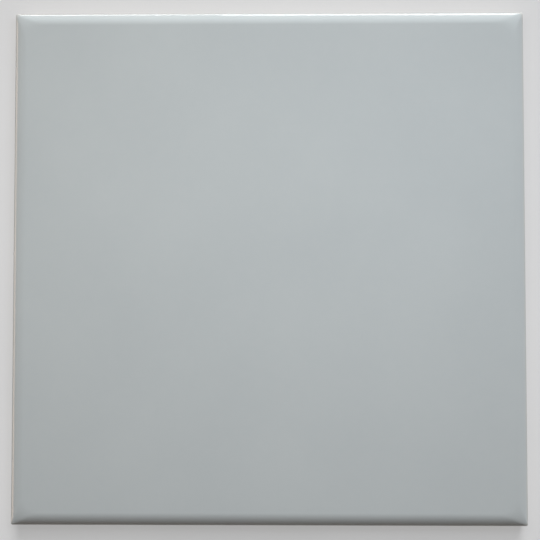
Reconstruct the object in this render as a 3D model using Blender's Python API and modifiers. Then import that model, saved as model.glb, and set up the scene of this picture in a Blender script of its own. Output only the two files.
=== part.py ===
"""A square glazed ceramic wall tile with a cushion edge.

The tile is pressed from clay dust, glazed and fired as one piece, so it is one object. Units are
metres, with +Z up. The tile lies on its back with the origin at the centre of the back. +Z leaves
the glazed face, and +Y is the tile's top edge as it hangs on a wall.
"""

import math

import bmesh
import bpy
from mathutils import Matrix

MM = 0.001

# Overall size. One tile and one 2 mm joint fill a 150 mm module.
WIDTH = 148.0 * MM
HEIGHT = 148.0 * MM
THICKNESS = 6.0 * MM

# Cushion edge, the soft roll-off that frames the flat glazed face
CUSHION_WIDTH = 3.9 * MM
CUSHION_DROP = 1.45 * MM
FACE_CORNER_RADIUS = 5.0 * MM

# Side, from the tight round under the cushion down to the back
ARRIS_RADIUS = 0.35 * MM
CORNER_RADIUS = 0.5 * MM
GLAZE_RUN = 0.8 * MM
DRAFT_HEIGHT = 1.6 * MM
DRAFT_INSET = 0.35 * MM
BACK_CHAMFER = 0.4 * MM

# Keyed back, a pattern of shallow drafted pockets that the adhesive grips
BACK_BORDER = 8.0 * MM
POCKET_SIZE = 9.0 * MM
POCKET_RIB = 2.0 * MM
POCKET_DEPTH = 0.5 * MM
POCKET_DRAFT = math.radians(30.0)
POCKET_CORNER_RADIUS = 1.2 * MM

# How finely the curves are cut into straight steps
CUSHION_STEPS = 8
ARRIS_STEPS = 4
CORNER_STEPS = 8
POCKET_CORNER_STEPS = 2

# How far the pocket cutter reaches out of the back
CUT_CLEARANCE = 0.5 * MM

# Faces that meet at less than this angle are shaded as one curved surface
SMOOTH_ANGLE = math.radians(25.0)

GLAZE_SLOT = 0
CLAY_SLOT = 1


def clear_scene():
    for item in list(bpy.data.objects):
        bpy.data.objects.remove(item, do_unlink=True)


def new_collection(name):
    collection = bpy.data.collections.new(name)
    bpy.context.scene.collection.children.link(collection)
    return collection


def new_material(name, color, roughness):
    material = bpy.data.materials.new(name)
    material.use_nodes = True
    shader = material.node_tree.nodes["Principled BSDF"]
    shader.inputs["Base Color"].default_value = (*color, 1.0)
    shader.inputs["Roughness"].default_value = roughness
    shader.inputs["Metallic"].default_value = 0.0
    return material


def new_object(name, builder, collection, materials):
    """Turn a bmesh into a named object that carries the given materials."""
    mesh = bpy.data.meshes.new(name)
    builder.to_mesh(mesh)
    builder.free()
    for material in materials:
        mesh.materials.append(material)
    item = bpy.data.objects.new(name, mesh)
    collection.objects.link(item)
    return item


def arc(centre_inset, centre_height, radius, first_tilt, last_tilt, steps):
    """Points of a convex arc as (inset, height), where tilt is how far the surface leans outwards."""
    points = []
    for step in range(steps + 1):
        tilt = first_tilt + (last_tilt - first_tilt) * step / steps
        inset = centre_inset - radius * math.sin(tilt)
        height = centre_height + radius * math.cos(tilt)
        points.append((inset, height))
    return points


def cushion_section():
    """The glazed edge in section, as (inset from the side, height), from the side up to the face.

    The cushion is an arc that lies level where it meets the face. A small arc inside it rounds the
    arris and stands upright at the side, and the two meet where they lean alike.
    """
    cushion_radius = (CUSHION_WIDTH**2 + CUSHION_DROP**2) / (2 * CUSHION_DROP)
    cushion_centre = THICKNESS - cushion_radius
    across = CUSHION_WIDTH - ARRIS_RADIUS
    between_centres = cushion_radius - ARRIS_RADIUS
    arris_centre = cushion_centre + math.sqrt(between_centres**2 - across**2)
    meeting_tilt = math.asin(across / between_centres)

    upright = math.pi / 2
    arris = arc(ARRIS_RADIUS, arris_centre, ARRIS_RADIUS, upright, meeting_tilt, ARRIS_STEPS)
    cushion = arc(CUSHION_WIDTH, cushion_centre, cushion_radius, meeting_tilt, 0.0, CUSHION_STEPS)
    return arris + cushion[1:]


def side_section(glaze_line):
    """The side in section, from the back up to where the glaze ends on its upright band."""
    return [
        (DRAFT_INSET + BACK_CHAMFER, 0.0),
        (DRAFT_INSET, BACK_CHAMFER),
        (0.0, DRAFT_HEIGHT),
        (0.0, glaze_line),
    ]


def add_outline(builder, inset, height, corner_radius):
    """One closed ring of edges round the tile: a rounded rectangle, counter-clockwise from above."""
    reach_x = WIDTH / 2 - inset - corner_radius
    reach_y = HEIGHT / 2 - inset - corner_radius
    ring = []
    for corner, (side_x, side_y) in enumerate(((1, 1), (-1, 1), (-1, -1), (1, -1))):
        for step in range(CORNER_STEPS + 1):
            angle = (corner + step / CORNER_STEPS) * math.pi / 2
            x = side_x * reach_x + corner_radius * math.cos(angle)
            y = side_y * reach_y + corner_radius * math.sin(angle)
            ring.append(builder.verts.new((x, y, height)))
    return [builder.edges.new((ring[i - 1], ring[i])) for i in range(len(ring))]


def build_blank(collection, materials):
    """The tile before its back is keyed: a loft through the outlines up the side and the cushion.

    The plan corners are tight all the way up the side, and widen over the cushion to the larger
    radius of the flat face, so the roll-off is gentler where two edges meet.
    """
    cushion = cushion_section()
    arris_foot = cushion[0][1]
    glaze_line = arris_foot - GLAZE_RUN

    builder = bmesh.new()
    rings = []
    for inset, height in side_section(glaze_line):
        rings.append(add_outline(builder, inset, height, CORNER_RADIUS))
    for inset, height in cushion:
        widening = (FACE_CORNER_RADIUS - CORNER_RADIUS) * inset / CUSHION_WIDTH
        rings.append(add_outline(builder, inset, height, CORNER_RADIUS + widening))
    for lower, upper in zip(rings, rings[1:]):
        bmesh.ops.bridge_loops(builder, edges=lower + upper)
    for end in (rings[0], rings[-1]):
        bmesh.ops.edgeloop_fill(builder, edges=end)
    bmesh.ops.recalc_face_normals(builder, faces=builder.faces)

    for face in builder.faces:
        glazed = face.calc_center_median().z > glaze_line
        face.material_index = GLAZE_SLOT if glazed else CLAY_SLOT
    return new_object("wall_tile", builder, collection, materials)


def pocket_count(length):
    """How many pockets fit along a side between its two plain borders."""
    room = length - 2 * BACK_BORDER + POCKET_RIB
    return math.floor(round(room / (POCKET_SIZE + POCKET_RIB), 6))


def add_pocket(builder):
    """One pocket as a square with drafted walls and round corners, standing through the back."""
    spread = 2 * math.tan(POCKET_DRAFT)
    mouth_size = POCKET_SIZE + CUT_CLEARANCE * spread
    floor_size = POCKET_SIZE - POCKET_DEPTH * spread
    lift = Matrix.Translation((0.0, 0.0, (POCKET_DEPTH - CUT_CLEARANCE) / 2))
    bmesh.ops.create_cone(
        builder,
        cap_ends=True,
        segments=4,
        radius1=mouth_size / math.sqrt(2),
        radius2=floor_size / math.sqrt(2),
        depth=POCKET_DEPTH + CUT_CLEARANCE,
        matrix=lift @ Matrix.Rotation(math.radians(45.0), 4, "Z"),
    )
    wall_corners = [edge for edge in builder.edges if edge.verts[0].co.z * edge.verts[1].co.z < 0]
    bmesh.ops.bevel(
        builder,
        geom=wall_corners,
        offset=POCKET_CORNER_RADIUS,
        segments=POCKET_CORNER_STEPS,
        profile=0.5,
        affect="EDGES",
    )


def repeat(item, name, count, offset):
    array = item.modifiers.new(name, "ARRAY")
    array.count = count
    array.use_relative_offset = False
    array.use_constant_offset = True
    array.constant_offset_displace = offset


def build_pocket_cutter(collection, materials):
    """All the pockets of the back: one pocket repeated in columns and rows, centred on the tile."""
    builder = bmesh.new()
    add_pocket(builder)
    for face in builder.faces:
        face.material_index = CLAY_SLOT
    cutter = new_object("pocket_cutter", builder, collection, materials)

    pitch = POCKET_SIZE + POCKET_RIB
    columns = pocket_count(WIDTH)
    rows = pocket_count(HEIGHT)
    repeat(cutter, "columns", columns, (pitch, 0.0, 0.0))
    repeat(cutter, "rows", rows, (0.0, pitch, 0.0))
    cutter.location = (-(columns - 1) * pitch / 2, -(rows - 1) * pitch / 2, 0.0)
    cutter.hide_render = True
    cutter.display_type = "WIRE"
    return cutter


def cut(item, cutter):
    boolean = item.modifiers.new(cutter.name, "BOOLEAN")
    boolean.operation = "DIFFERENCE"
    boolean.solver = "EXACT"
    boolean.object = cutter


def build_wall_tile():
    clear_scene()
    parts = new_collection("ceramic_wall_tile")
    cutters = new_collection("cutters")
    glaze = new_material("glaze", (0.46, 0.50, 0.50), 0.08)
    clay = new_material("fired_clay", (0.62, 0.56, 0.47), 0.9)

    tile = build_blank(parts, (glaze, clay))
    tile.data.shade_smooth()
    tile.data.set_sharp_from_angle(angle=SMOOTH_ANGLE)
    cut(tile, build_pocket_cutter(cutters, (glaze, clay)))


build_wall_tile()
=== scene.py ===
"""The looks of a glazed ceramic wall tile that lies on its back, seen from straight above.

One closed mesh stands for the tile: a flat face with a cushion edge under glossy glaze, upright
sides where the glaze ends in an uneven line, and a keyed back of bare fired clay. Units are metres.
"""

import math

import bmesh
import bpy
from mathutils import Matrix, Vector, noise


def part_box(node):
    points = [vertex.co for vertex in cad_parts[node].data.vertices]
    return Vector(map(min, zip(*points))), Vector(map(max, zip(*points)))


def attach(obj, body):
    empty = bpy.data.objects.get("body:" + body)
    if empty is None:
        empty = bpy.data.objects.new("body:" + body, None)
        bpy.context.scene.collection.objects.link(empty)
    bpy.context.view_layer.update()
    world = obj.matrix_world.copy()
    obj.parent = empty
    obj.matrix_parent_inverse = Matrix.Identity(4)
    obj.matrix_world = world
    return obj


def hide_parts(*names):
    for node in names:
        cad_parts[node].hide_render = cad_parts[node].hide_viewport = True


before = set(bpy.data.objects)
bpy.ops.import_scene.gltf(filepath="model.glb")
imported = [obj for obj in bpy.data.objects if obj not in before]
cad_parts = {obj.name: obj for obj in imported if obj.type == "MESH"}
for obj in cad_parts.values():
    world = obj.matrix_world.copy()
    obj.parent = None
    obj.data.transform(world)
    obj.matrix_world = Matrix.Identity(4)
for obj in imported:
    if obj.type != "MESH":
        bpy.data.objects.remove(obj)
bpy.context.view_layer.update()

MM = 0.001

# The tile's box comes from the frame, so the looks never change its size
_, BOX_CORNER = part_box("wall_tile")
THICKNESS = BOX_CORNER.z

# Edge of the face and side, the same as in the solid
CUSHION_WIDTH = 3.9 * MM
CUSHION_DROP = 1.45 * MM
FACE_CORNER_RADIUS = 5.0 * MM
ARRIS_RADIUS = 0.35 * MM
CORNER_RADIUS = 0.5 * MM
GLAZE_RUN = 0.8 * MM
DRAFT_HEIGHT = 1.6 * MM
DRAFT_INSET = 0.35 * MM
BACK_CHAMFER = 0.4 * MM

# Keyed back, the same as in the solid but for the soft rims and fillets of its pockets
BACK_BORDER = 8.0 * MM
POCKET_SIZE = 9.0 * MM
POCKET_RIB = 2.0 * MM
POCKET_DEPTH = 0.5 * MM
POCKET_DRAFT = math.radians(30.0)
POCKET_CORNER_RADIUS = 1.2 * MM
POCKET_RIM_RADIUS = 0.12 * MM
POCKET_FILLET_RADIUS = 0.2 * MM

# Lower end of the glaze: how far it stands off the clay, its bead, and the slight dip above the bead
GLAZE_COAT = 0.06 * MM
BEAD_HEIGHT = 0.16 * MM
BEAD_DIP = 0.015 * MM
BEAD_DIP_RISE = 2.2 * BEAD_HEIGHT

# The bead in section, up from the clay, as (share of the coat still missing, share of its height)
BEAD_SECTION = ((1.0, 0.0), (0.4, 0.15), (0.1, 0.5), (0.0, 1.0))

# How the line wanders where the glaze ends: slow waves, and a quicker ruffle on them
GLAZE_LINE_SWING = 0.22 * MM
GLAZE_LINE_WAVE = 9.0 * MM
GLAZE_LINE_RUFFLE = 2.2 * MM
GLAZE_LINE_RUFFLE_SHARE = 0.35
GLAZE_LINE_RUFFLE_LAYER = 5.0 * MM

# Ripple of the fired glaze on the face, slow and quick. The two shares of its depth add up to a half,
# so the face never rises above its highest level.
RIPPLE_DEPTH = 0.02 * MM
RIPPLE_LENGTH = 24.0 * MM
RIPPLE_SHARE = 0.42
QUICK_RIPPLE_LENGTH = 0.3 * RIPPLE_LENGTH
QUICK_RIPPLE_SHARE = 0.08
QUICK_RIPPLE_LAYER = 7.0 * MM

# Glaze that has drawn back from the arris: its usual share, the insets where it is full and where it
# ends, how quickly it falls off between them, and its patches
THIN_GLAZE_SHARE = 0.45
THIN_GLAZE_FULL = 0.3 * ARRIS_RADIUS
THIN_GLAZE_END = 2.5 * ARRIS_RADIUS
THIN_GLAZE_FALL = 1.5
THIN_GLAZE_PATCH_LENGTH = 5.0 * MM
THIN_GLAZE_PATCH_MIDDLE = 0.8
THIN_GLAZE_PATCH_SWING = 0.6

# Two nibs of glaze on the sides, as (side of the tile along X, place along Y, height, half width)
NIBS = (
    (-1, 3.8 * MM, 0.08 * MM, 0.6 * MM),
    (1, -42.8 * MM, 0.05 * MM, 0.8 * MM),
)
NIB_HALF_HEIGHT = 0.5 * MM

# The sides along X stand back from the box by the room that the highest nib needs
HALF_X = BOX_CORNER.x - max(height for _, _, height, _ in NIBS)
HALF_Y = BOX_CORNER.y

# How finely the mesh is cut. Within NIB_CLEARANCE half widths of a nib, the evenly spaced stations
# along a side make room for finer ones.
SIDE_SPACING = 1.5 * MM
NIB_STEPS = 8
NIB_CLEARANCE = 1.3
CORNER_STEPS = 12
CUSHION_STEPS = 24
ARRIS_STEPS = 8
BACK_EDGE_STEPS = 4
POCKET_CORNER_STEPS = 4
POCKET_ROUND_STEPS = 3

# Points of neighbouring cells that are closer than this are one point
MERGE_DISTANCE = 0.001 * MM

# Faces that meet at less than this angle are shaded as one curved surface
SMOOTH_ANGLE = math.radians(35.0)

# Material slots of the mesh
GLAZE = 0
CLAY = 1

# Corners of a rectangle in turn, as their signs along X and Y
COUNTER_CLOCKWISE = ((1, 1), (-1, 1), (-1, -1), (1, -1))
CLOCKWISE = ((1, 1), (1, -1), (-1, -1), (-1, 1))

# Noise runs from 0 to 1 but is mostly near its middle. These stretches of it are spread over a blend,
# and only its tips show as specks (the high ones) and pores (the low ones).
CLOUD_STRETCH = (0.3, 0.7)
DUST_STRETCH = (0.35, 0.65)
SPECK_TIPS = (0.72, 0.78)
PORE_TIPS = (0.30, 0.24)

# Glaze: two shades in broad clouds, a faint paler fleck, and the clay that shows where it is thin
GLAZE_DEEP = (0.452, 0.492, 0.494)
GLAZE_PALE = (0.468, 0.508, 0.508)
GLAZE_FLECK = (0.56, 0.58, 0.56)
GLAZE_FLECK_SHARE = 0.06
CLAY_UNDER_GLAZE = (0.60, 0.55, 0.46)
GLAZE_ROUGHNESS = (0.05, 0.08)
GLAZE_IOR = 1.5
GLAZE_CLOUD_LENGTH = 30.0 * MM
GLAZE_FLECK_LENGTH = 2.5 * MM
PEEL_LENGTH = 4.0 * MM
PEEL_DEPTH = 0.006 * MM
FINE_PEEL_LENGTH = 0.7 * MM
FINE_PEEL_DEPTH = 0.0007 * MM

# Clay: two shades in broad clouds, paler dusty grain, dark specks, and small open pores darkened with
# painted shade
CLAY_DEEP = (0.56, 0.49, 0.40)
CLAY_PALE = (0.65, 0.59, 0.50)
CLAY_DUST = (0.74, 0.69, 0.60)
CLAY_DUST_SHARE = 0.35
CLAY_SPECK_AND_PORE_SHADE = (0.30, 0.22, 0.15)
CLAY_SPECK_SHARE = 0.5
# The pores take the dark speck colour: painted shade standing in for the depth of a pore
CLAY_PORE_SHADE_SHARE = 0.4
CLAY_ROUGHNESS = (0.82, 0.95)
CLAY_SPECULAR = 0.3
CLAY_CLOUD_LENGTH = 14.0 * MM
CLAY_GRAIN_LENGTH = 0.6 * MM
CLAY_GRAIN_DEPTH = 0.05 * MM
CLAY_GRAIN_HARSHNESS = 0.65
CLAY_SPECK_LENGTH = 0.9 * MM
CLAY_PORE_LENGTH = 1.3 * MM
CLAY_PORE_DEPTH = 0.08 * MM

# Floor: its colour and its own glow to the eye and in the gloss, and both as light on the tile
FLOOR_HALF_SIZE = 2.0
FLOOR_COLOR = (0.30, 0.304, 0.304)
FLOOR_COLOR_AS_LIGHT = (0.42, 0.38, 0.34)
FLOOR_GLOW_DEEP = (0.37, 0.37, 0.37)
FLOOR_GLOW_PALE = (0.385, 0.385, 0.385)
FLOOR_GLOW_AS_LIGHT = (0.34, 0.31, 0.28)
FLOOR_ROUGHNESS = (0.85, 0.95)
FLOOR_MOTTLE_LENGTH = 60.0 * MM
FLOOR_GRAIN_LENGTH = 1.2 * MM
FLOOR_GRAIN_DEPTH = 0.02 * MM

# World: seen plainly, dim as light, and in the gloss brighter on three sides and darker at -Y
WORLD_SEEN = (0.54, 0.54, 0.54)
WORLD_AS_LIGHT = (0.026, 0.018, 0.014)
WORLD_WINDOW_SIDE = (2.15, 2.45, 2.55)
WORLD_LEFT_SIDE = (1.05, 1.02, 0.96)
WORLD_RIGHT_SIDE = (0.98, 1.04, 1.08)
WORLD_SHADY_SIDE = (0.26, 0.13, 0.07)

# Each side of the world starts, and is full, where a direction points this far along its axis
WINDOW_SIDE_SPAN = (0.3, 0.85)
LEFT_SIDE_SPAN = (-0.5, -1.0)
RIGHT_SIDE_SPAN = (0.5, 1.0)
SHADY_SIDE_SPAN = (-0.35, -1.0)

# The window's side is turned from +Y towards +X, and below this rise it fades down to the horizon
WINDOW_BEARING = math.radians(12.0)
WINDOW_FADE_RISE = 0.4
WINDOW_SHARE_AT_HORIZON = 0.3

# Sun: soft daylight from past the tile's top edge. Its width is the angle it takes up in the sky.
SUN_ELEVATION = math.radians(29.0)
SUN_AZIMUTH = math.radians(5.0)
SUN_WIDTH = math.radians(30.0)
SUN_STRENGTH = 3.15
SUN_COLOR = (1.0, 0.98, 0.99)

# Two fills above the top half of the tile, as (name, place, size, watts, colour)
FILLS = (
    ("left fill", (-0.055, 0.062, 0.19), (0.10, 0.10), 0.108, (1.0, 0.97, 0.93)),
    ("right fill", (0.075, 0.062, 0.19), (0.10, 0.10), 0.138, (0.84, 0.905, 1.0)),
)

# What the cushion mirrors: a window that is lower on the left, and two cards that give the left and
# right edges a thin line each, warm and cool. Also as (name, place, size, watts, colour).
WINDOW_DISTANCE = 0.57
WINDOW_COLOR = (0.96, 0.99, 1.0)
CARD_DISTANCE = 0.50
REFLECTIONS = (
    ("low pane", (-0.185, WINDOW_DISTANCE, 0.0175), (0.29, 0.055), 0.50, WINDOW_COLOR),
    ("tall pane", (0.26, WINDOW_DISTANCE, 0.06), (0.70, 0.12), 2.00, WINDOW_COLOR),
    ("left card", (-CARD_DISTANCE, 0.0, 0.04), (0.45, 0.08), 0.33, (1.0, 0.70, 0.52)),
    ("right card", (CARD_DISTANCE, 0.0, 0.035), (0.60, 0.07), 0.10, (0.82, 0.92, 1.0)),
)

# Camera: nearly straight above the tile, a little off its centre and out of square as in the photo
CAMERA_PLACE = (2.48 * MM, -7.49 * MM, 221.0 * MM)
CAMERA_LEAN = (math.radians(1.728), math.radians(0.547), math.radians(-0.008))
CAMERA_LENS_MM = 50.0
CAMERA_SENSOR_MM = 36.0
CAMERA_NEAR_LIMIT = 10.0 * MM


# Outlines and sections

def side_stations(half_length, marks):
    """Places along one side from -1 to 1, evenly spaced, with a fine cluster round each mark."""
    reach = half_length - CORNER_RADIUS
    count = math.ceil(2 * reach / SIDE_SPACING)
    places = [-1 + 2 * step / count for step in range(count + 1)]
    for place, half_width in marks:
        middle = place / reach
        span = half_width / reach
        places = [p for p in places if abs(p - middle) > NIB_CLEARANCE * span]
        places += [middle + span * (2 * step / NIB_STEPS - 1) for step in range(NIB_STEPS + 1)]
    return sorted(places)


STATIONS_X = side_stations(HALF_X, ())
STATIONS_Y = side_stations(HALF_Y, [(place, half_width) for _, place, _, half_width in NIBS])


def outline(inset, height, corner_radius):
    """A rounded rectangle, counter-clockwise from above, with points along its straight sides too."""
    reach_x = HALF_X - inset - corner_radius
    reach_y = HALF_Y - inset - corner_radius
    top = [(u * reach_x, reach_y + corner_radius) for u in reversed(STATIONS_X[1:-1])]
    left = [(-reach_x - corner_radius, v * reach_y) for v in reversed(STATIONS_Y[1:-1])]
    bottom = [(u * reach_x, -reach_y - corner_radius) for u in STATIONS_X[1:-1]]
    right = [(reach_x + corner_radius, v * reach_y) for v in STATIONS_Y[1:-1]]
    points = []
    for corner, (side_x, side_y) in enumerate(COUNTER_CLOCKWISE):
        for step in range(CORNER_STEPS + 1):
            angle = (corner + step / CORNER_STEPS) * math.pi / 2
            x = side_x * reach_x + corner_radius * math.cos(angle)
            y = side_y * reach_y + corner_radius * math.sin(angle)
            points.append((x, y))
        points += (top, left, bottom, right)[corner]
    return [Vector((x, y, height)) for x, y in points]


def arc(centre_inset, centre_height, radius, first_tilt, last_tilt, steps):
    """Points of a convex arc as (inset, height), where tilt is how far the surface leans outwards."""
    points = []
    for step in range(steps + 1):
        tilt = first_tilt + (last_tilt - first_tilt) * step / steps
        points.append((centre_inset - radius * math.sin(tilt), centre_height + radius * math.cos(tilt)))
    return points


def cushion_section():
    """The glazed edge in section, as (inset from the side, height), from the side up to the face.

    The cushion is an arc that lies level where it meets the face. A small arc inside it rounds the
    arris and stands upright at the side, and the two meet where they lean alike.
    """
    cushion_radius = (CUSHION_WIDTH**2 + CUSHION_DROP**2) / (2 * CUSHION_DROP)
    cushion_centre = THICKNESS - cushion_radius
    across = CUSHION_WIDTH - ARRIS_RADIUS
    between_centres = cushion_radius - ARRIS_RADIUS
    arris_centre = cushion_centre + math.sqrt(between_centres**2 - across**2)
    meeting_tilt = math.asin(across / between_centres)
    arris = arc(ARRIS_RADIUS, arris_centre, ARRIS_RADIUS, math.pi / 2, meeting_tilt, ARRIS_STEPS)
    cushion = arc(CUSHION_WIDTH, cushion_centre, cushion_radius, meeting_tilt, 0.0, CUSHION_STEPS)
    return arris + cushion[1:]


# Small irregularities of the glaze

def wander(x, y, length, layer=0.0):
    """Smooth noise from -1 to 1 over the plan, with lumps about as long as given, in its own layer."""
    return noise.noise(Vector((x, y, layer)) / length)


def glaze_line(x, y, arris_foot):
    """Height at which the glaze ends on the side, which wanders a little as it runs round the tile."""
    slow = wander(x, y, GLAZE_LINE_WAVE)
    quick = wander(x, y, GLAZE_LINE_RUFFLE, GLAZE_LINE_RUFFLE_LAYER)
    return arris_foot - GLAZE_RUN + GLAZE_LINE_SWING * (slow + GLAZE_LINE_RUFFLE_SHARE * quick)


def ripple(x, y):
    """How far the fired glaze lies below its highest level at one place on the face."""
    slow = wander(x, y, RIPPLE_LENGTH)
    quick = wander(x, y, QUICK_RIPPLE_LENGTH, QUICK_RIPPLE_LAYER)
    return RIPPLE_DEPTH * (0.5 - RIPPLE_SHARE * slow - QUICK_RIPPLE_SHARE * quick)


def nib_push(point, middle_height):
    """How far a point on the side is pushed outwards by the nibs of glaze."""
    push = 0.0
    for side, place, proud, half_width in NIBS:
        along = abs(point.y - place) / half_width
        up = abs(point.z - middle_height) / NIB_HALF_HEIGHT
        if point.x * side > 0 and along < 1 and up < 1:
            push += side * proud * math.cos(along * math.pi / 2)**2 * math.cos(up * math.pi / 2)**2
    return push


def glaze_thinness(point, inset):
    """How far the glaze has drawn back from the clay at a point, in patches along the arris."""
    rise = min(inset / THIN_GLAZE_FULL, 1.0)
    fall = max(1.0 - inset / THIN_GLAZE_END, 0.0)
    lump = noise.noise(point / THIN_GLAZE_PATCH_LENGTH)
    patch = THIN_GLAZE_PATCH_MIDDLE + THIN_GLAZE_PATCH_SWING * lump
    return THIN_GLAZE_SHARE * rise * fall**THIN_GLAZE_FALL * patch


# Mesh of the side and the face

def join(builder, lower, upper, material):
    """Faces between two rings of points. Where points of a ring coincide, a face has three corners."""
    for i in range(len(lower)):
        corners = []
        for vert in (lower[i - 1], lower[i], upper[i], upper[i - 1]):
            if vert not in corners:
                corners.append(vert)
        if len(corners) > 2:
            builder.faces.new(corners).material_index = material


def clay_rings():
    """Rings of points on the bare clay, from the back up to the lower end of the glaze."""
    foot_inset = DRAFT_INSET + BACK_CHAMFER
    back_edge = arc(foot_inset, BACK_CHAMFER, BACK_CHAMFER, math.pi, math.pi / 2, BACK_EDGE_STEPS)
    rings = [outline(inset, height, CORNER_RADIUS) for inset, height in back_edge]
    rings.append(outline(GLAZE_COAT, DRAFT_HEIGHT, CORNER_RADIUS))
    return rings


def glaze_end_rings(arris_foot):
    """Rings round the lower end of the glaze: where it leaves the clay, over its bead, and above it."""
    bead = [(missing * GLAZE_COAT, up * BEAD_HEIGHT) for missing, up in BEAD_SECTION]
    bead.append((BEAD_DIP, BEAD_DIP_RISE))
    rings = []
    for inset, rise in bead:
        points = outline(inset, 0.0, CORNER_RADIUS)
        for point in points:
            point.z = glaze_line(point.x, point.y, arris_foot) + rise
        rings.append(points)
    return rings


def cushion_ring(inset, height):
    """A ring on the arris or the cushion, whose corners widen inwards and whose glaze ripples."""
    share = inset / CUSHION_WIDTH
    points = outline(inset, height, CORNER_RADIUS + (FACE_CORNER_RADIUS - CORNER_RADIUS) * share)
    for point in points:
        point.z -= share * ripple(point.x, point.y)
    return points


def add_side(builder):
    """The whole side and the cushion. Returns the ring of points where the cushion meets the face."""
    section = cushion_section()
    arris_foot = section[0][1]
    thin_glaze = builder.verts.layers.float.new("thin_glaze")

    def add_ring(points):
        for point in points:
            point.x += nib_push(point, arris_foot)
        return [builder.verts.new(point) for point in points]

    clay = [add_ring(points) for points in clay_rings()]
    glaze = [add_ring(points) for points in glaze_end_rings(arris_foot)]
    for inset, height in section:
        ring = add_ring(cushion_ring(inset, height))
        for vert in ring:
            vert[thin_glaze] = glaze_thinness(vert.co, inset)
        glaze.append(ring)

    for lower, upper in zip(clay, clay[1:] + glaze[:1]):
        join(builder, lower, upper, CLAY)
    for lower, upper in zip(glaze, glaze[1:]):
        join(builder, lower, upper, GLAZE)
    return glaze[-1]


def add_face(builder, edge_ring):
    """The flat face: one ring inside the cushion, then a grid that meets its corners at one point."""
    half_way = outline(CUSHION_WIDTH + FACE_CORNER_RADIUS / 2, THICKNESS, FACE_CORNER_RADIUS / 2)
    middle_ring = [builder.verts.new((p.x, p.y, p.z - ripple(p.x, p.y))) for p in half_way]
    reach_x = HALF_X - CUSHION_WIDTH - FACE_CORNER_RADIUS
    reach_y = HALF_Y - CUSHION_WIDTH - FACE_CORNER_RADIUS
    grid = []
    for v in STATIONS_Y:
        spots = [(u * reach_x, v * reach_y) for u in STATIONS_X]
        grid.append([builder.verts.new((x, y, THICKNESS - ripple(x, y))) for x, y in spots])
    for row, next_row in zip(grid, grid[1:]):
        for i in range(len(row) - 1):
            corners = (row[i], row[i + 1], next_row[i + 1], next_row[i])
            builder.faces.new(corners).material_index = GLAZE

    top = list(reversed(grid[-1]))
    left = [row[0] for row in reversed(grid)]
    bottom = grid[0]
    right = [row[-1] for row in grid]
    border = []
    for side in (top, left, bottom, right):
        border += [side[0]] * (CORNER_STEPS + 1) + side[1:-1]
    join(builder, edge_ring, middle_ring, GLAZE)
    join(builder, middle_ring, border, GLAZE)


# Mesh of the back

def pocket_section():
    """A pocket in section as (half size, depth), over its rim, down its wall and onto its floor."""
    turn = math.pi / 2 - POCKET_DRAFT
    setback = math.tan(turn / 2)
    mouth = POCKET_SIZE / 2
    floor = mouth - POCKET_DEPTH * math.tan(POCKET_DRAFT)
    angles = [turn * step / POCKET_ROUND_STEPS for step in range(POCKET_ROUND_STEPS + 1)]
    section = []
    for angle in angles:
        half_size = mouth + POCKET_RIM_RADIUS * (setback - math.sin(angle))
        section.append((half_size, POCKET_RIM_RADIUS * (1 - math.cos(angle))))
    for angle in reversed(angles):
        half_size = floor - POCKET_FILLET_RADIUS * (setback - math.sin(angle))
        section.append((half_size, POCKET_DEPTH - POCKET_FILLET_RADIUS * (1 - math.cos(angle))))
    return section


def pocket_ring(centre, half_size, depth):
    """Points round a pocket at one depth, clockwise from above, with round corners."""
    radius = POCKET_CORNER_RADIUS - (POCKET_SIZE / 2 - half_size)
    points = []
    for corner, (side_x, side_y) in enumerate(CLOCKWISE):
        for step in range(POCKET_CORNER_STEPS + 1):
            angle = (1 - corner - step / POCKET_CORNER_STEPS) * math.pi / 2
            x = side_x * (half_size - radius) + radius * math.cos(angle)
            y = side_y * (half_size - radius) + radius * math.sin(angle)
            points.append(centre + Vector((x, y, depth)))
    return points


def cell_ring(centre, pitch):
    """Points round the square cell of one pocket, along the middle of its ribs, clockwise from above."""
    near = POCKET_RIB / 2 + POCKET_CORNER_RADIUS
    steps = [2 * step / POCKET_CORNER_STEPS for step in range(POCKET_CORNER_STEPS + 1)]
    points = []
    for corner, (side_x, side_y) in enumerate(CLOCKWISE):
        tip = centre + Vector((side_x, side_y, 0.0)) * pitch / 2
        back_along_x = Vector((-side_x * near, 0.0, 0.0))
        back_along_y = Vector((0.0, -side_y * near, 0.0))
        before, after = ((back_along_x, back_along_y), (back_along_y, back_along_x))[corner % 2]
        for step in steps:
            points.append(tip + before * max(1 - step, 0.0) + after * max(step - 1, 0.0))
    return points


def pocket_count(length):
    """How many pockets fit along a side between its two plain borders.

    The count is rounded first, so one that comes out a hair under a whole number isn't lost.
    """
    room = length - 2 * BACK_BORDER + POCKET_RIB
    return math.floor(round(room / (POCKET_SIZE + POCKET_RIB), 6))


def add_back(builder):
    """The keyed back: a cell for each pocket, and the plain border between the cells and the side."""
    pitch = POCKET_SIZE + POCKET_RIB
    columns = pocket_count(2 * BOX_CORNER.x)
    rows = pocket_count(2 * BOX_CORNER.y)
    cell_verts = []
    for column in range(columns):
        for row in range(rows):
            x = (column - (columns - 1) / 2) * pitch
            y = (row - (rows - 1) / 2) * pitch
            centre = Vector((x, y, 0.0))
            outer = [builder.verts.new(point) for point in cell_ring(centre, pitch)]
            cell_verts += outer
            for half_size, depth in pocket_section():
                inner = [builder.verts.new(point) for point in pocket_ring(centre, half_size, depth)]
                join(builder, outer, inner, CLAY)
                outer = inner
            builder.faces.new(outer).material_index = CLAY
    bmesh.ops.remove_doubles(builder, verts=cell_verts, dist=MERGE_DISTANCE)

    flat_edges = [edge for edge in builder.edges if all(vert.co.z == 0 for vert in edge.verts)]
    open_edges = [edge for edge in flat_edges if edge.is_boundary]
    border = bmesh.ops.triangle_fill(builder, edges=open_edges, use_beauty=True)
    for item in border["geom"]:
        if isinstance(item, bmesh.types.BMFace):
            item.material_index = CLAY


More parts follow.
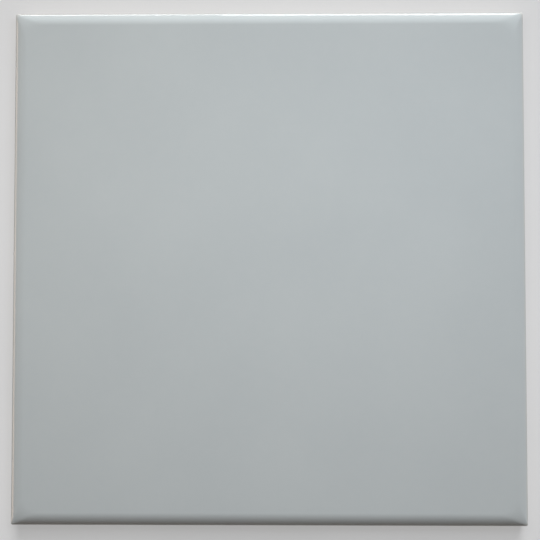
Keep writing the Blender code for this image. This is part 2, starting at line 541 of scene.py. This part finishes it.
def build_tile():
    builder = bmesh.new()
    edge_ring = add_side(builder)
    add_face(builder, edge_ring)
    add_back(builder)
    bmesh.ops.recalc_face_normals(builder, faces=builder.faces)
    mesh = bpy.data.meshes.new("tile")
    builder.to_mesh(mesh)
    builder.free()
    mesh.materials.append(glaze_material())
    mesh.materials.append(clay_material())
    mesh.shade_smooth()
    mesh.set_sharp_from_angle(angle=SMOOTH_ANGLE)
    item = bpy.data.objects.new("glazed_tile", mesh)
    bpy.context.scene.collection.objects.link(item)
    return item


# Shader nodes, whose owner is a material or the world

def connect(owner, value, socket):
    """Link a socket to another node's output, or give it a plain value."""
    if isinstance(value, bpy.types.NodeSocket):
        owner.node_tree.links.new(value, socket)
    else:
        socket.default_value = value


def add_node(owner, kind, inputs=None, **settings):
    """A node with its settings, whose inputs are given values or linked to other nodes' outputs."""
    node = owner.node_tree.nodes.new(kind)
    for name, value in settings.items():
        setattr(node, name, value)
    for name, value in (inputs or {}).items():
        connect(owner, value, node.inputs[name])
    return node


def cloud(owner, length, detail=2.0, roughness=0.5):
    """Soft noise between 0 and 1 whose lumps are about as long as given, fixed to the object."""
    place = add_node(owner, "ShaderNodeTexCoord").outputs["Object"]
    inputs = {"Vector": place, "Scale": 1 / length, "Detail": detail, "Roughness": roughness}
    return add_node(owner, "ShaderNodeTexNoise", inputs).outputs["Fac"]


def remap(owner, value, low, high, new_low=0.0, new_high=1.0, interpolation="LINEAR"):
    """The part of a value between low and high, stretched to a new range and held at its ends."""
    inputs = {"Value": value, "From Min": low, "From Max": high, "To Min": new_low, "To Max": new_high}
    node = add_node(owner, "ShaderNodeMapRange", inputs, interpolation_type=interpolation)
    return node.outputs["Result"]


def spread(owner, value, low, high):
    """A value between 0 and 1 spread over a new range."""
    return remap(owner, value, 0.0, 1.0, low, high)


def blend(owner, factor, first, second):
    """A colour between two others, each of them a colour or another node's output."""
    node = add_node(owner, "ShaderNodeMix", data_type="RGBA")
    sockets = {socket.name: socket for socket in node.inputs if socket.enabled}
    connect(owner, factor, sockets["Factor"])
    for name, color in (("A", first), ("B", second)):
        if isinstance(color, tuple):
            color = (*color, 1.0)
        connect(owner, color, sockets[name])
    return next(socket for socket in node.outputs if socket.enabled)


def bump(owner, height, depth, below=None):
    """A bump of the given depth in metres, laid over another one if there is one below it."""
    inputs = {"Height": height, "Distance": depth, "Strength": 1.0}
    if below:
        inputs["Normal"] = below
    return add_node(owner, "ShaderNodeBump", inputs).outputs["Normal"]


# Materials

def new_material(name):
    material = bpy.data.materials.new(name)
    material.use_nodes = True
    return material, material.node_tree.nodes["Principled BSDF"]


def glaze_material():
    """Pale grey glaze with a faint cloudiness, thinner and warmer over the arris, and a fine peel."""
    material, shader = new_material("glaze")
    broad = remap(material, cloud(material, GLAZE_CLOUD_LENGTH), *CLOUD_STRETCH)
    small = remap(material, cloud(material, GLAZE_FLECK_LENGTH, detail=3.0), *CLOUD_STRETCH)
    thin = add_node(material, "ShaderNodeAttribute", attribute_name="thin_glaze").outputs["Fac"]
    color = blend(material, broad, GLAZE_DEEP, GLAZE_PALE)
    color = blend(material, spread(material, small, 0.0, GLAZE_FLECK_SHARE), color, GLAZE_FLECK)
    color = blend(material, thin, color, CLAY_UNDER_GLAZE)
    peel = bump(material, cloud(material, PEEL_LENGTH, detail=1.0), PEEL_DEPTH)
    peel = bump(material, cloud(material, FINE_PEEL_LENGTH, detail=1.0), FINE_PEEL_DEPTH, peel)
    connect(material, color, shader.inputs["Base Color"])
    connect(material, spread(material, small, *GLAZE_ROUGHNESS), shader.inputs["Roughness"])
    connect(material, peel, shader.inputs["Normal"])
    shader.inputs["IOR"].default_value = GLAZE_IOR
    return material


def clay_material():
    """Fired buff clay: matt, mottled, with fine grain, a few darker specks, and small open pores
    darkened with painted shade.
    """
    material, shader = new_material("fired_clay")
    broad = remap(material, cloud(material, CLAY_CLOUD_LENGTH, detail=4.0), *CLOUD_STRETCH)
    grain = cloud(material, CLAY_GRAIN_LENGTH, detail=4.0, roughness=CLAY_GRAIN_HARSHNESS)
    dust = remap(material, grain, *DUST_STRETCH, 0.0, CLAY_DUST_SHARE)
    specks = remap(material, cloud(material, CLAY_SPECK_LENGTH, detail=1.0), *SPECK_TIPS)
    pores = remap(material, cloud(material, CLAY_PORE_LENGTH), *PORE_TIPS)
    color = blend(material, broad, CLAY_DEEP, CLAY_PALE)
    color = blend(material, dust, color, CLAY_DUST)
    color = blend(material, spread(material, specks, 0.0, CLAY_SPECK_SHARE), color, CLAY_SPECK_AND_PORE_SHADE)
    # Painted shade: the pores are darkened with the speck colour, as if shade lay inside them
    color = blend(material, spread(material, pores, 0.0, CLAY_PORE_SHADE_SHARE), color, CLAY_SPECK_AND_PORE_SHADE)
    relief = bump(material, grain, CLAY_GRAIN_DEPTH)
    relief = bump(material, spread(material, pores, 1.0, 0.0), CLAY_PORE_DEPTH, relief)
    connect(material, color, shader.inputs["Base Color"])
    roughness = remap(material, grain, *CLOUD_STRETCH, *CLAY_ROUGHNESS)
    connect(material, roughness, shader.inputs["Roughness"])
    connect(material, relief, shader.inputs["Normal"])
    shader.inputs["Specular IOR Level"].default_value = CLAY_SPECULAR
    return material


def floor_material():
    """Plain pale floor, hardly mottled. Part of its paleness is its own glow, so it looks even."""
    material, shader = new_material("floor")
    mottle = remap(material, cloud(material, FLOOR_MOTTLE_LENGTH, detail=5.0), *CLOUD_STRETCH)
    as_light = add_node(material, "ShaderNodeLightPath").outputs["Is Diffuse Ray"]
    glow = blend(material, mottle, FLOOR_GLOW_DEEP, FLOOR_GLOW_PALE)
    glow = blend(material, as_light, glow, FLOOR_GLOW_AS_LIGHT)
    color = blend(material, as_light, FLOOR_COLOR, FLOOR_COLOR_AS_LIGHT)
    grain = bump(material, cloud(material, FLOOR_GRAIN_LENGTH, detail=3.0), FLOOR_GRAIN_DEPTH)
    connect(material, color, shader.inputs["Base Color"])
    connect(material, glow, shader.inputs["Emission Color"])
    connect(material, spread(material, mottle, *FLOOR_ROUGHNESS), shader.inputs["Roughness"])
    connect(material, grain, shader.inputs["Normal"])
    shader.inputs["Emission Strength"].default_value = 1.0
    shader.inputs["Specular IOR Level"].default_value = 0.0
    return material


# Studio

def build_floor():
    builder = bmesh.new()
    bmesh.ops.create_grid(builder, x_segments=1, y_segments=1, size=FLOOR_HALF_SIZE)
    mesh = bpy.data.meshes.new("floor")
    builder.to_mesh(mesh)
    builder.free()
    mesh.materials.append(floor_material())
    floor = bpy.data.objects.new("floor", mesh)
    bpy.context.scene.collection.objects.link(floor)


def build_world():
    """Plain and pale where it is seen, softly uneven in the gloss, and dim as light.

    What the gloss shows is plain overhead. It brightens towards the window and to the left and
    right, and darkens towards -Y.
    """
    world = bpy.data.worlds.new("studio")
    bpy.context.scene.world = world
    world.use_nodes = True
    direction = add_node(world, "ShaderNodeTexCoord").outputs["Generated"]
    along = add_node(world, "ShaderNodeSeparateXYZ", {"Vector": direction}).outputs
    turn = {"Vector": direction, "Angle": WINDOW_BEARING}
    turned = add_node(world, "ShaderNodeVectorRotate", turn, rotation_type="Z_AXIS").outputs["Vector"]
    to_window = add_node(world, "ShaderNodeSeparateXYZ", {"Vector": turned}).outputs["Y"]
    path = add_node(world, "ShaderNodeLightPath")
    in_gloss = path.outputs["Is Glossy Ray"]
    as_light = path.outputs["Is Diffuse Ray"]
    fade = remap(world, along["Z"], 0.0, WINDOW_FADE_RISE, WINDOW_SHARE_AT_HORIZON, 1.0)
    window_in_gloss = spread(world, in_gloss, 0.0, fade)
    sides = (
        (to_window, WINDOW_SIDE_SPAN, window_in_gloss, WORLD_WINDOW_SIDE),
        (along["X"], LEFT_SIDE_SPAN, in_gloss, WORLD_LEFT_SIDE),
        (along["X"], RIGHT_SIDE_SPAN, in_gloss, WORLD_RIGHT_SIDE),
        (along["Y"], SHADY_SIDE_SPAN, in_gloss, WORLD_SHADY_SIDE),
    )
    color = WORLD_SEEN
    for part, (start, full), full_share, side_color in sides:
        share = remap(world, part, start, full, 0.0, full_share, "SMOOTHSTEP")
        color = blend(world, share, color, side_color)
    color = blend(world, as_light, color, WORLD_AS_LIGHT)
    connect(world, color, world.node_tree.nodes["Background"].inputs["Color"])


def new_lamp(name, kind, power, color, position):
    """A lamp that faces the tile and that the camera doesn't see."""
    data = bpy.data.lights.new(name, kind)
    data.energy = power
    data.color = color
    lamp = bpy.data.objects.new(name, data)
    lamp.location = position
    lamp.rotation_euler = (-Vector(position)).to_track_quat("-Z", "Y").to_euler()
    lamp.visible_camera = False
    bpy.context.scene.collection.objects.link(lamp)
    return lamp


def add_sun(name, elevation, azimuth, width, strength, color):
    """Even light from one direction, kept out of the gloss. Azimuth runs from +Y to +X."""
    level = math.cos(elevation)
    towards = (level * math.sin(azimuth), level * math.cos(azimuth), math.sin(elevation))
    lamp = new_lamp(name, "SUN", strength, color, towards)
    lamp.data.angle = width
    lamp.visible_glossy = False


def add_panel(name, position, size, power, color):
    """A flat rectangular lamp."""
    lamp = new_lamp(name, "AREA", power, color, position)
    lamp.data.shape = "RECTANGLE"
    lamp.data.size, lamp.data.size_y = size
    return lamp


def add_fill(name, position, size, power, color):
    """A panel that only lights surfaces, so the gloss doesn't show it."""
    add_panel(name, position, size, power, color).visible_glossy = False


def add_reflection(name, position, size, power, color):
    """A panel that only shows in the gloss, so it puts no pool of light on the floor."""
    add_panel(name, position, size, power, color).visible_diffuse = False


def build_lamps():
    add_sun("daylight", SUN_ELEVATION, SUN_AZIMUTH, SUN_WIDTH, SUN_STRENGTH, SUN_COLOR)
    for fill in FILLS:
        add_fill(*fill)
    for reflection in REFLECTIONS:
        add_reflection(*reflection)


def build_camera():
    camera = bpy.data.objects.new("camera", bpy.data.cameras.new("camera"))
    bpy.context.scene.collection.objects.link(camera)
    camera.data.lens = CAMERA_LENS_MM
    camera.data.sensor_width = CAMERA_SENSOR_MM
    camera.data.clip_start = CAMERA_NEAR_LIMIT
    camera.location = CAMERA_PLACE
    camera.rotation_euler = CAMERA_LEAN
    bpy.context.scene.camera = camera


tile = build_tile()
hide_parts("wall_tile")
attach(tile, "root")
build_floor()
build_world()
build_lamps()
build_camera()
bpy.context.scene.view_settings.view_transform = "Standard"
